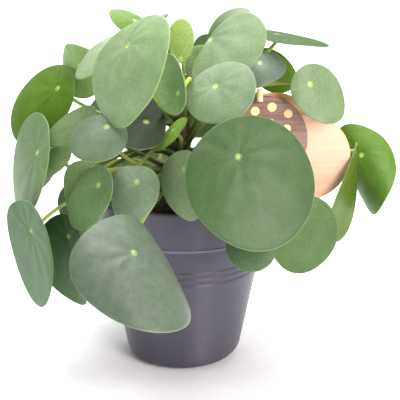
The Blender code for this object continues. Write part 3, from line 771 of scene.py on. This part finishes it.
def grow_stalk(mesh):
    """The stalk narrows out of the blade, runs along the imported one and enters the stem."""
    blade = mesh.blade
    down = np.linspace(0, 1, STALK_RINGS)
    line = np.stack(weights(STALK_KNOTS, 1 - down), axis=1) @ blade.stalk
    heading = unit(np.gradient(line, axis=0))
    line = np.vstack([line, line[-1] + heading[-1] * STALK_SINKS_MM * MM])
    heading = np.vstack([heading, heading[-1:]])
    down = np.append(down, 1.0)
    side = blade.along
    start = blade.turn[:: AROUND // STALK_AROUND]
    even = start[0] + np.arange(STALK_AROUND) * FULL_TURN / STALK_AROUND
    (top_flare, top_long), (foot_flare, foot_long) = STALK_FLARES
    for k, (centre, ahead) in enumerate(zip(line, heading)):
        side = unit(side - ahead * (side @ ahead))
        other = np.cross(-ahead, side)
        flare = top_flare * bell(down[k], top_long) + foot_flare * bell(1 - down[k], foot_long)
        radius = (STALK_TOP_MM + (STALK_FOOT_MM - STALK_TOP_MM) * down[k]) * (1 + flare)
        settled = min(1.0, k / STALK_SETTLES)
        angles = start * (1 - settled) + even * settled
        circle = np.cos(angles)[:, None] * side + np.sin(angles)[:, None] * other
        along = np.full(STALK_AROUND, STALK_PLACE_MM + STALK_PLACE_LONG_MM * down[k])
        place = np.stack([angles * STALK_PLACE_WIDE_MM, along, np.zeros(STALK_AROUND)], axis=1)
        mesh.add_ring(centre + circle * radius * MM, place, 0.0, 1.0, 1.0 + down[k])
    mesh.faces.append(tuple(mesh.last[::-1]))


def brown_spots(place, under):
    """How brown each point of the spotted leaf's upper side is."""
    mark = np.zeros(len(place))
    for x, y, size in SPOTS_MM:
        mark = np.maximum(mark, bell(np.hypot(place[:, 0] - x, place[:, 1] - y), size))
    return mark * (under < 0.5)


def make_leaf(name, node, index, material):
    blade = Blade(node)
    draw = np.random.default_rng(1000 + index).uniform(0, FULL_TURN, 1 + len(EDGE_WAVES))
    mesh = LeafMesh(blade, blade.eye - blade.normal * DIMPLE_MM * MM)
    grow_blade(mesh, draw)
    grow_stalk(mesh)

    green, bloom = LEAF_TONES_AND_PAINTED_LIGHT.get(name, BACK_LEAF_TONE)
    notes = np.vstack(mesh.notes)
    place, edge, under, stalk = notes[:, :3], notes[:, 3], notes[:, 4], notes[:, 5]
    attributes = {
        "leaf_lit_tone": np.tile(linear(green), (len(notes), 1)),
        "leaf_bloom": np.full(len(notes), bloom),
        "leaf_place": place,
        "leaf_edge": edge,
        "leaf_under": under,
        "leaf_stalk": stalk,
        "leaf_mark": brown_spots(place, under) if name == SPOTTED_LEAF else np.zeros(len(notes)),
    }
    faces = [face[::-1] for face in mesh.faces]
    new_piece(name + "_look", np.vstack(mesh.points), faces, material, [name], attributes)
    return blade


leaf_material = leaf_tissue()
leaf_names = sorted(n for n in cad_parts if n.startswith("leaf_"))
blades = {
    name: make_leaf(name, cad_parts[name], index, leaf_material)
    for index, name in enumerate(leaf_names)
}


# ---- pot


def revolve(profile, around):
    """A closed turned mesh from (radius, height) points in mm that start and end on the axis."""
    angles = np.arange(around) * FULL_TURN / around
    points = [(0.0, 0.0, profile[0][1] * MM)]
    rings = []
    for radius, height in profile[1:-1]:
        rings.append(range(len(points), len(points) + around))
        points += [(radius * MM * math.cos(a), radius * MM * math.sin(a), height * MM) for a in angles]
    points.append((0.0, 0.0, profile[-1][1] * MM))
    return np.array(points), closed_tube(rings, len(points) - 1)


def arc(centre, radius, start, end, steps):
    """Points of an arc in a profile; angles in degrees, 0 outwards and 90 up."""
    turns = [math.radians(start + (end - start) * i / steps) for i in range(steps + 1)]
    return [(centre[0] + radius * math.cos(t), centre[1] + radius * math.sin(t)) for t in turns]


def pot_profile(height, rim):
    """The pot's section from the middle of its underside, up the outside and down inside."""
    def wall(z):
        return POT_FOOT_MM + (rim - POT_FOOT_MM) * z / height

    def swell(middle, wide, proud, steps, shape):
        """Points of the wall where it swells out, or in if the swell is negative."""
        for i in range(steps + 1):
            z = middle - wide / 2 + wide * i / steps
            yield wall(z) + proud * math.sin(math.pi * i / steps) ** shape, z

    foot = wall(CORNER_MM) - CORNER_MM
    hollow_ends, ring_starts, hollow = STAND_MM
    outside = [(0.0, hollow), (foot - hollow_ends, hollow), (foot - ring_starts, 0.0)]
    outside += arc((foot, CORNER_MM), CORNER_MM, -90, -2, 14)
    below_grooves = GROOVES_MM[0] - 3.0
    outside.append((wall(below_grooves), below_grooves))
    for z in GROOVES_MM:
        outside += swell(z, GROOVE_WIDE_MM, -GROOVE_DEEP_MM, 8, 1.5)
    outside += swell(*BEAD_MM, 10, 0.6)
    lip_foot = height - LIP_TALL_MM
    lip = [(wall(lip_foot - 0.5), lip_foot - 0.5), (wall(lip_foot), lip_foot)]
    lip_middle = rim + LIP_PROUD_MM - LIP_ROUND_MM
    lip += arc((lip_middle, lip_foot + LIP_ROUND_MM), LIP_ROUND_MM, -80, 0, 5)
    lip += arc((lip_middle, height - LIP_ROUND_MM), LIP_ROUND_MM, 0, 90, 6)
    inner_middle = rim - POT_WALL_MM + LIP_INNER_ROUND_MM
    lip += arc((inner_middle, height - LIP_INNER_ROUND_MM), LIP_INNER_ROUND_MM, 90, 180, 5)
    inner_corner = CORNER_MM - POT_WALL_MM
    # Rings on the straight inner wall keep its shading even.
    down = [(wall(z) - POT_WALL_MM, z) for z in (height - 12, height - 30, 60.0, 30.0)]
    down += arc((foot, POT_FLOOR_MM + inner_corner), inner_corner, -2, -90, 10)
    return outside + lip + down + [(0.0, POT_FLOOR_MM)]


def drill_hole(pot, angle):
    low, high = DRILL_MM
    points, faces = revolve([(0, low), (DRAIN_MM, low), (DRAIN_MM, high), (0, high)], DRILL_AROUND)
    points = points + np.array([math.cos(angle), math.sin(angle), 0]) * DRAIN_CIRCLE_MM * MM
    drill = new_object("drill", new_mesh("drill", points, faces))
    cut = pot.modifiers.new("hole", "BOOLEAN")
    cut.operation = "DIFFERENCE"
    cut.object = drill
    bpy.context.view_layer.update()
    graph = bpy.context.evaluated_depsgraph_get()
    drilled = bpy.data.meshes.new_from_object(pot.evaluated_get(graph))
    pot.modifiers.clear()
    pot.data = drilled
    bpy.data.objects.remove(drill)


def make_pot(material):
    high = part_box("pot")[1]
    profile = pot_profile(high.z / MM, high.x / MM - LIP_PROUD_MM)
    points, faces = revolve(profile, POT_AROUND)
    pot = new_piece("pot_moulded", points, faces, material, ["pot"], sharp=SHARP_DEG)
    for i in range(DRAIN_HOLES):
        drill_hole(pot, FULL_TURN * i / DRAIN_HOLES)
    pot.data.set_sharp_from_angle(angle=math.radians(SHARP_DEG))


make_pot(pot_plastic())


# ---- soil


def lumps(x, y, draws):
    """A soft random height field in mm from a handful of waves."""
    total = np.zeros_like(x)
    for (direction, phase), (length, tall) in zip(draws, LUMP_WAVES_MM):
        along = x * math.cos(direction) + y * math.sin(direction)
        total += tall * np.sin(along * FULL_TURN / length + phase)
    return np.clip(total, *LUMPS_MM)


def mound(share_in):
    """How far the soil has risen above its edge, in mm, at a share of the way in."""
    return SOIL_MOUND_MM * smoothstep(0.2, 0.85, share_in)


def small_ball():
    """The corners and sides of a 20-sided ball of radius 1."""
    golden = (1 + 5 ** 0.5) / 2
    corners = np.array([
        np.roll((side, tall, 0), turn)
        for turn in range(3) for tall in (golden, -golden) for side in (-1, 1)
    ]) / math.hypot(1, golden)
    sides = []
    for numbers in itertools.combinations(range(len(corners)), 3):
        a, b, c = corners[list(numbers)]
        if max(math.dist(a, b), math.dist(b, c), math.dist(c, a)) < 1.1:
            sides.append(numbers if np.cross(b - a, c - a) @ a > 0 else numbers[::-1])
    return corners, sides


def make_peat(material, floor, top, reach, waves):
    """The body of soil, mounded and lumpy on top."""
    edge = top - SOIL_EDGE_MM
    profile = [(0.0, floor)]
    for t, out in SOIL_SIDE:
        profile.append((reach * out, floor + (top - SOIL_SIDE_MM - floor) * t))
    for t in np.linspace(0.0, 1.0, SOIL_RINGS):
        profile.append((reach * (1 - SOIL_RINGS_REACH * t), edge + mound(t)))
    profile.append((0.0, edge + SOIL_MOUND_MM))
    points, faces = revolve(profile, SOIL_AROUND)
    on_top = points[:, 2] / MM > edge - 0.01
    x, y = points[on_top, 0] / MM, points[on_top, 1] / MM
    inside = 1 - smoothstep(0.96, 1.0, np.hypot(x, y) / reach)
    points[on_top, 2] += lumps(x, y, waves) * inside * MM
    new_piece("soil_peat", points, faces, material, ["soil"])


def make_crumbs(material, top, reach, waves, rng):
    """Loose crumbs that lie on the lumps."""
    points, faces = [], []
    corners, sides = small_ball()
    for _ in range(CRUMBS):
        radius = reach * math.sqrt(rng.uniform(*CRUMB_SPREAD))
        angle = rng.uniform(0, FULL_TURN)
        size = rng.uniform(*CRUMB_MM)
        x, y = radius * math.cos(angle), radius * math.sin(angle)
        ground = top - SOIL_EDGE_MM + mound((1 - radius / reach) / SOIL_RINGS_REACH)
        ground += float(lumps(np.array([x]), np.array([y]), waves)[0])
        crumb = corners * rng.uniform(*CRUMB_ROUGH, len(corners))[:, None] * size
        spin = rng.uniform(0, FULL_TURN)
        right, deep = math.cos(spin), math.sin(spin)
        crumb = crumb @ [[right, deep, 0], [-deep, right, 0], [0, 0, CRUMB_FLAT]]
        start = len(points) * len(corners)
        points.append((crumb + (x, y, ground + size * CRUMB_LIFT)) * MM)
        faces += [tuple(start + i for i in side) for side in sides]
    new_piece("soil_crumbs", np.vstack(points), faces, material, [])


def make_soil(material):
    low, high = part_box("soil")
    floor, top, reach = low.z / MM, high.z / MM, high.x / MM
    rng = np.random.default_rng(7)
    waves = [(rng.uniform(0, FULL_TURN), rng.uniform(0, FULL_TURN)) for _ in LUMP_WAVES_MM]
    make_peat(material, floor, top, reach, waves)
    make_crumbs(material, top, reach, waves, rng)


make_soil(peat())


# ---- stem


def make_stem(material, feet):
    """A short corky stem with a scar under every stalk."""
    low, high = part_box("main_stem")
    bearings = np.arctan2(feet[:, 1], feet[:, 0])
    points, rings = [(0.0, 0.0, low.z)], []
    body_top = high.z - STEM_BODY_ENDS
    for k in range(STEM_RINGS + 1):
        z = low.z + (body_top - low.z) * (k / STEM_RINGS)
        taper = high.x - STEM_TAPERS * float(smoothstep(*STEM_TAPER_Z, z))
        # The last rings close in on the growing tip.
        taper *= 1 - TIP_CLOSES * max(0, k - STEM_RINGS + TIP_RINGS)
        rings.append(range(len(points), len(points) + STEM_AROUND))
        for i in range(STEM_AROUND):
            a = FULL_TURN * i / STEM_AROUND
            across = np.abs((a - bearings + math.pi) % FULL_TURN - math.pi) * taper
            near = np.hypot(across, (z - feet[:, 2]) * SCAR_FLAT).min()
            scar = SCAR_PROUD * bell(near, SCAR_MM * MM)
            ridges = sum(math.sin(times * a + slant * z) for times, slant in RIDGES)
            radius = taper - STEM_INSET + scar + RIDGE_PROUD * ridges
            points.append((radius * math.cos(a), radius * math.sin(a), z))
    points.append((0.0, 0.0, high.z - STEM_TIP_ENDS))
    faces = closed_tube(rings, len(points) - 1)
    new_piece("main_stem_bark", points, faces, material, ["main_stem"])


def stipule_faces():
    """Faces of a scale: three rows of three points and a tip, on its back and its front."""
    back = [(a, a + 1, a + 4, a + 3) for a in (0, 1, 3, 4)] + [(6, 7, 9), (7, 8, 9)]
    front = [tuple(i + 10 for i in (face[0], *face[:0:-1])) for face in back]
    outline = (0, 3, 6, 9, 8, 5, 2, 1)
    return back + front + strip(outline, [i + 10 for i in outline])


def make_stipules(material, feet):
    """A papery scale beside the foot of every stalk."""
    rng = np.random.default_rng(11)
    up = Vector((0, 0, 1))
    points, faces = [], []
    tall, wide = (size * MM for size in STIPULE_MM)
    for foot in feet:
        outward = Vector((foot[0], foot[1], 0)).normalized()
        level = outward.cross(up)
        root = Vector(foot) + outward * STIPULE_ROOT[0] + up * STIPULE_ROOT[1]
        upward = (up + outward * rng.uniform(*STIPULE_LEAN)).normalized()
        start = len(points)
        for thick in (0.0, STIPULE_THICK):
            for share, breadth in STIPULE_ROWS:
                for side in (-1, 0, 1):
                    aside = level * (side * breadth * wide)
                    curled = outward * (thick - STIPULE_CURL * abs(side))
                    points.append(tuple(root + upward * (share * tall) + aside + curled))
            points.append(tuple(root + upward * tall + outward * thick))
        faces += [tuple(start + i for i in face) for face in stipule_faces()]
    new_piece("stipules", points, faces, material, [])


stalk_feet = np.array([blade.stalk[0] for blade in blades.values()])
make_stem(stem_bark(), stalk_feet)
make_stipules(stipule_paper(), stalk_feet)


# ---- ornament


def disc_profile(radius, half):
    """The section of a thin disc with rounded edges, in mm."""
    ease = DISC_EASE_MM
    lower = arc((radius - ease, -half + ease), ease, -90, 0, 5)
    upper = arc((radius - ease, half - ease), ease, 0, 90, 5)
    return [(0.0, -half), (radius * 0.5, -half), *lower, *upper, (radius * 0.5, half), (0.0, half)]


def upright(points, centre):
    """Turns a mesh made round Z to face the show side, with its middle at the centre."""
    x, y, z = points[:, 0], points[:, 1], points[:, 2]
    return np.stack([x, -z, y], axis=1) + np.array(centre)


def round_box(node):
    """A packed disc's or rod's two corners, its middle, and its radius in mm."""
    low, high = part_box(node)
    return low, high, (low + high) / 2, (high.x - low.x) / 2 / MM


def make_disc(node, name, material):
    low, high, centre, radius = round_box(node)
    points, faces = revolve(disc_profile(radius, (high.y - low.y) / 2 / MM), DISC_AROUND)
    new_piece(name, upright(points, centre), faces, material, [node], sharp=SHARP_DEG)
    return centre, radius, low.y


def make_dots(centre, radius, front, material):
    points, faces = [], []
    for out, turn, size in DOTS:
        turn = math.radians(turn)
        dot = DOT_MM * size
        middle = centre + Vector((math.sin(turn), 0, math.cos(turn))) * (out * radius * MM)
        if out * radius + dot > radius - DISC_EASE_MM:
            middle = centre + (middle - centre).normalized() * (radius - DISC_EASE_MM - dot) * MM
        profile = [(0.0, -DOT_SUNK_MM), (dot, -DOT_SUNK_MM)]
        profile += [(dot * share, DOT_PROUD_MM * proud) for share, proud in DOT_SECTION]
        dot_points, dot_faces = revolve(profile, DOT_AROUND)
        start = len(points)
        points += list(upright(dot_points, (middle.x, front, middle.z)))
        faces += [tuple(start + i for i in face) for face in dot_faces]
    new_piece("ornament_dots", points, faces, material, [])


def make_rod(node, name, material, ease):
    low, high, centre, radius = round_box(node)
    bottom, top = low.z / MM, high.z / MM
    profile = [(0.0, bottom), *arc((radius - ease, bottom + ease), ease, -90, 0, 5)]
    profile += [(radius, bottom + (top - bottom) * t) for t in (0.25, 0.5, 0.75)]
    profile += [*arc((radius - ease, top - ease), ease, 0, 90, 5), (0.0, top)]
    points, faces = revolve(profile, ROD_AROUND)
    points = points + np.array((centre.x, centre.y, 0))
    new_piece(name, points, faces, material, [node], sharp=SHARP_DEG)


def make_ornament():
    brown = stained_wood("brown_stained_birch_ply", "#7c5d52", "#97796f", "X", 0.3)
    copper = stained_wood("copper_stained_birch_ply", "#d9a066", "#efc48e", "X", 0.4)
    peach = stained_wood("peach_stained_birch_ply", "#e8b894", "#ecc2a2", "X", 0.5)
    pale = stained_wood("pale_birch_dowel", "#e0c48c", "#f0dcae", "Z", 0.55)
    spotted = make_disc("ornament_spotted_disc", "spotted_disc_ply", brown)
    make_disc("ornament_middle_disc", "middle_disc_ply", peach)
    make_disc("ornament_rear_disc", "rear_disc_ply", copper)
    make_dots(*spotted, dot_enamel())
    make_rod("ornament_peg", "peg_dowel", pale, 0.8)
    make_rod("ornament_stick", "stick_dowel", pale, 0.4)


make_ornament()


# ---- camera, floor and light


def put(name, data, place, aim):
    """Puts a camera or a light in the scene, turned towards a point."""
    made = new_object(name, data)
    made.location = place
    made.rotation_euler = (Vector(aim) - Vector(place)).to_track_quat("-Z", "Y").to_euler()
    return made


def make_camera():
    data = bpy.data.cameras.new("camera")
    data.lens = CAMERA_LENS_MM
    data.sensor_width = CAMERA_SENSOR_MM
    data.clip_start, data.clip_end = CAMERA_SEES
    bpy.context.scene.camera = put("camera", data, CAMERA_PLACE, CAMERA_AIM)


def make_floor():
    far = FLOOR_HALF
    corners = [(-far, -far, 0), (far, -far, 0), (far, far, 0), (-far, far, 0)]
    floor = new_object("floor", new_mesh("floor", corners, [(0, 1, 2, 3)]))
    floor.data.materials.append(seamless_paper())


def softbox(name, place, aim, size, power, colour):
    data = bpy.data.lights.new(name, "AREA")
    data.shape = "RECTANGLE"
    data.size, data.size_y = size
    data.energy = power
    data.color = linear(colour)[:3]
    put(name, data, place, aim)


def make_light():
    world = bpy.data.worlds.new("white_studio")
    world.use_nodes = True
    tree = world.node_tree
    background = tree.nodes["Background"]
    background.inputs["Color"].default_value = linear("#ffffff")
    # White walls stand behind and beside the plant; the room is dimmer on the show side.
    way = add(tree, "TexCoord").outputs["Generated"]
    back = add(tree, "SeparateXYZ", {}, (way,)).outputs["Y"]
    wall = add(tree, "MapRange", EASED, (back, WALLS_FROM, WALLS_FULL, SHOW_SIDE_LIGHT, WALL_LIGHT))
    tree.links.new(wall.outputs[0], background.inputs["Strength"])
    bpy.context.scene.world = world
    softbox("overhead_softbox", (-0.1, 0.15, 1.5), (0, 0, 0.1), (1.4, 1.2), 38, "#ffffff")
    softbox("background_softbox", (0.0, 2.4, 2.2), (0, 2.4, 0), (3.0, 2.4), 95, "#ffffff")
    softbox("front_right_strip", (0.72, -1.06, 0.6), (0, 0, 0.1), (0.55, 0.9), 22, "#fff1f6")
    bpy.context.scene.view_settings.view_transform = "Standard"


make_camera()
make_floor()
make_light()
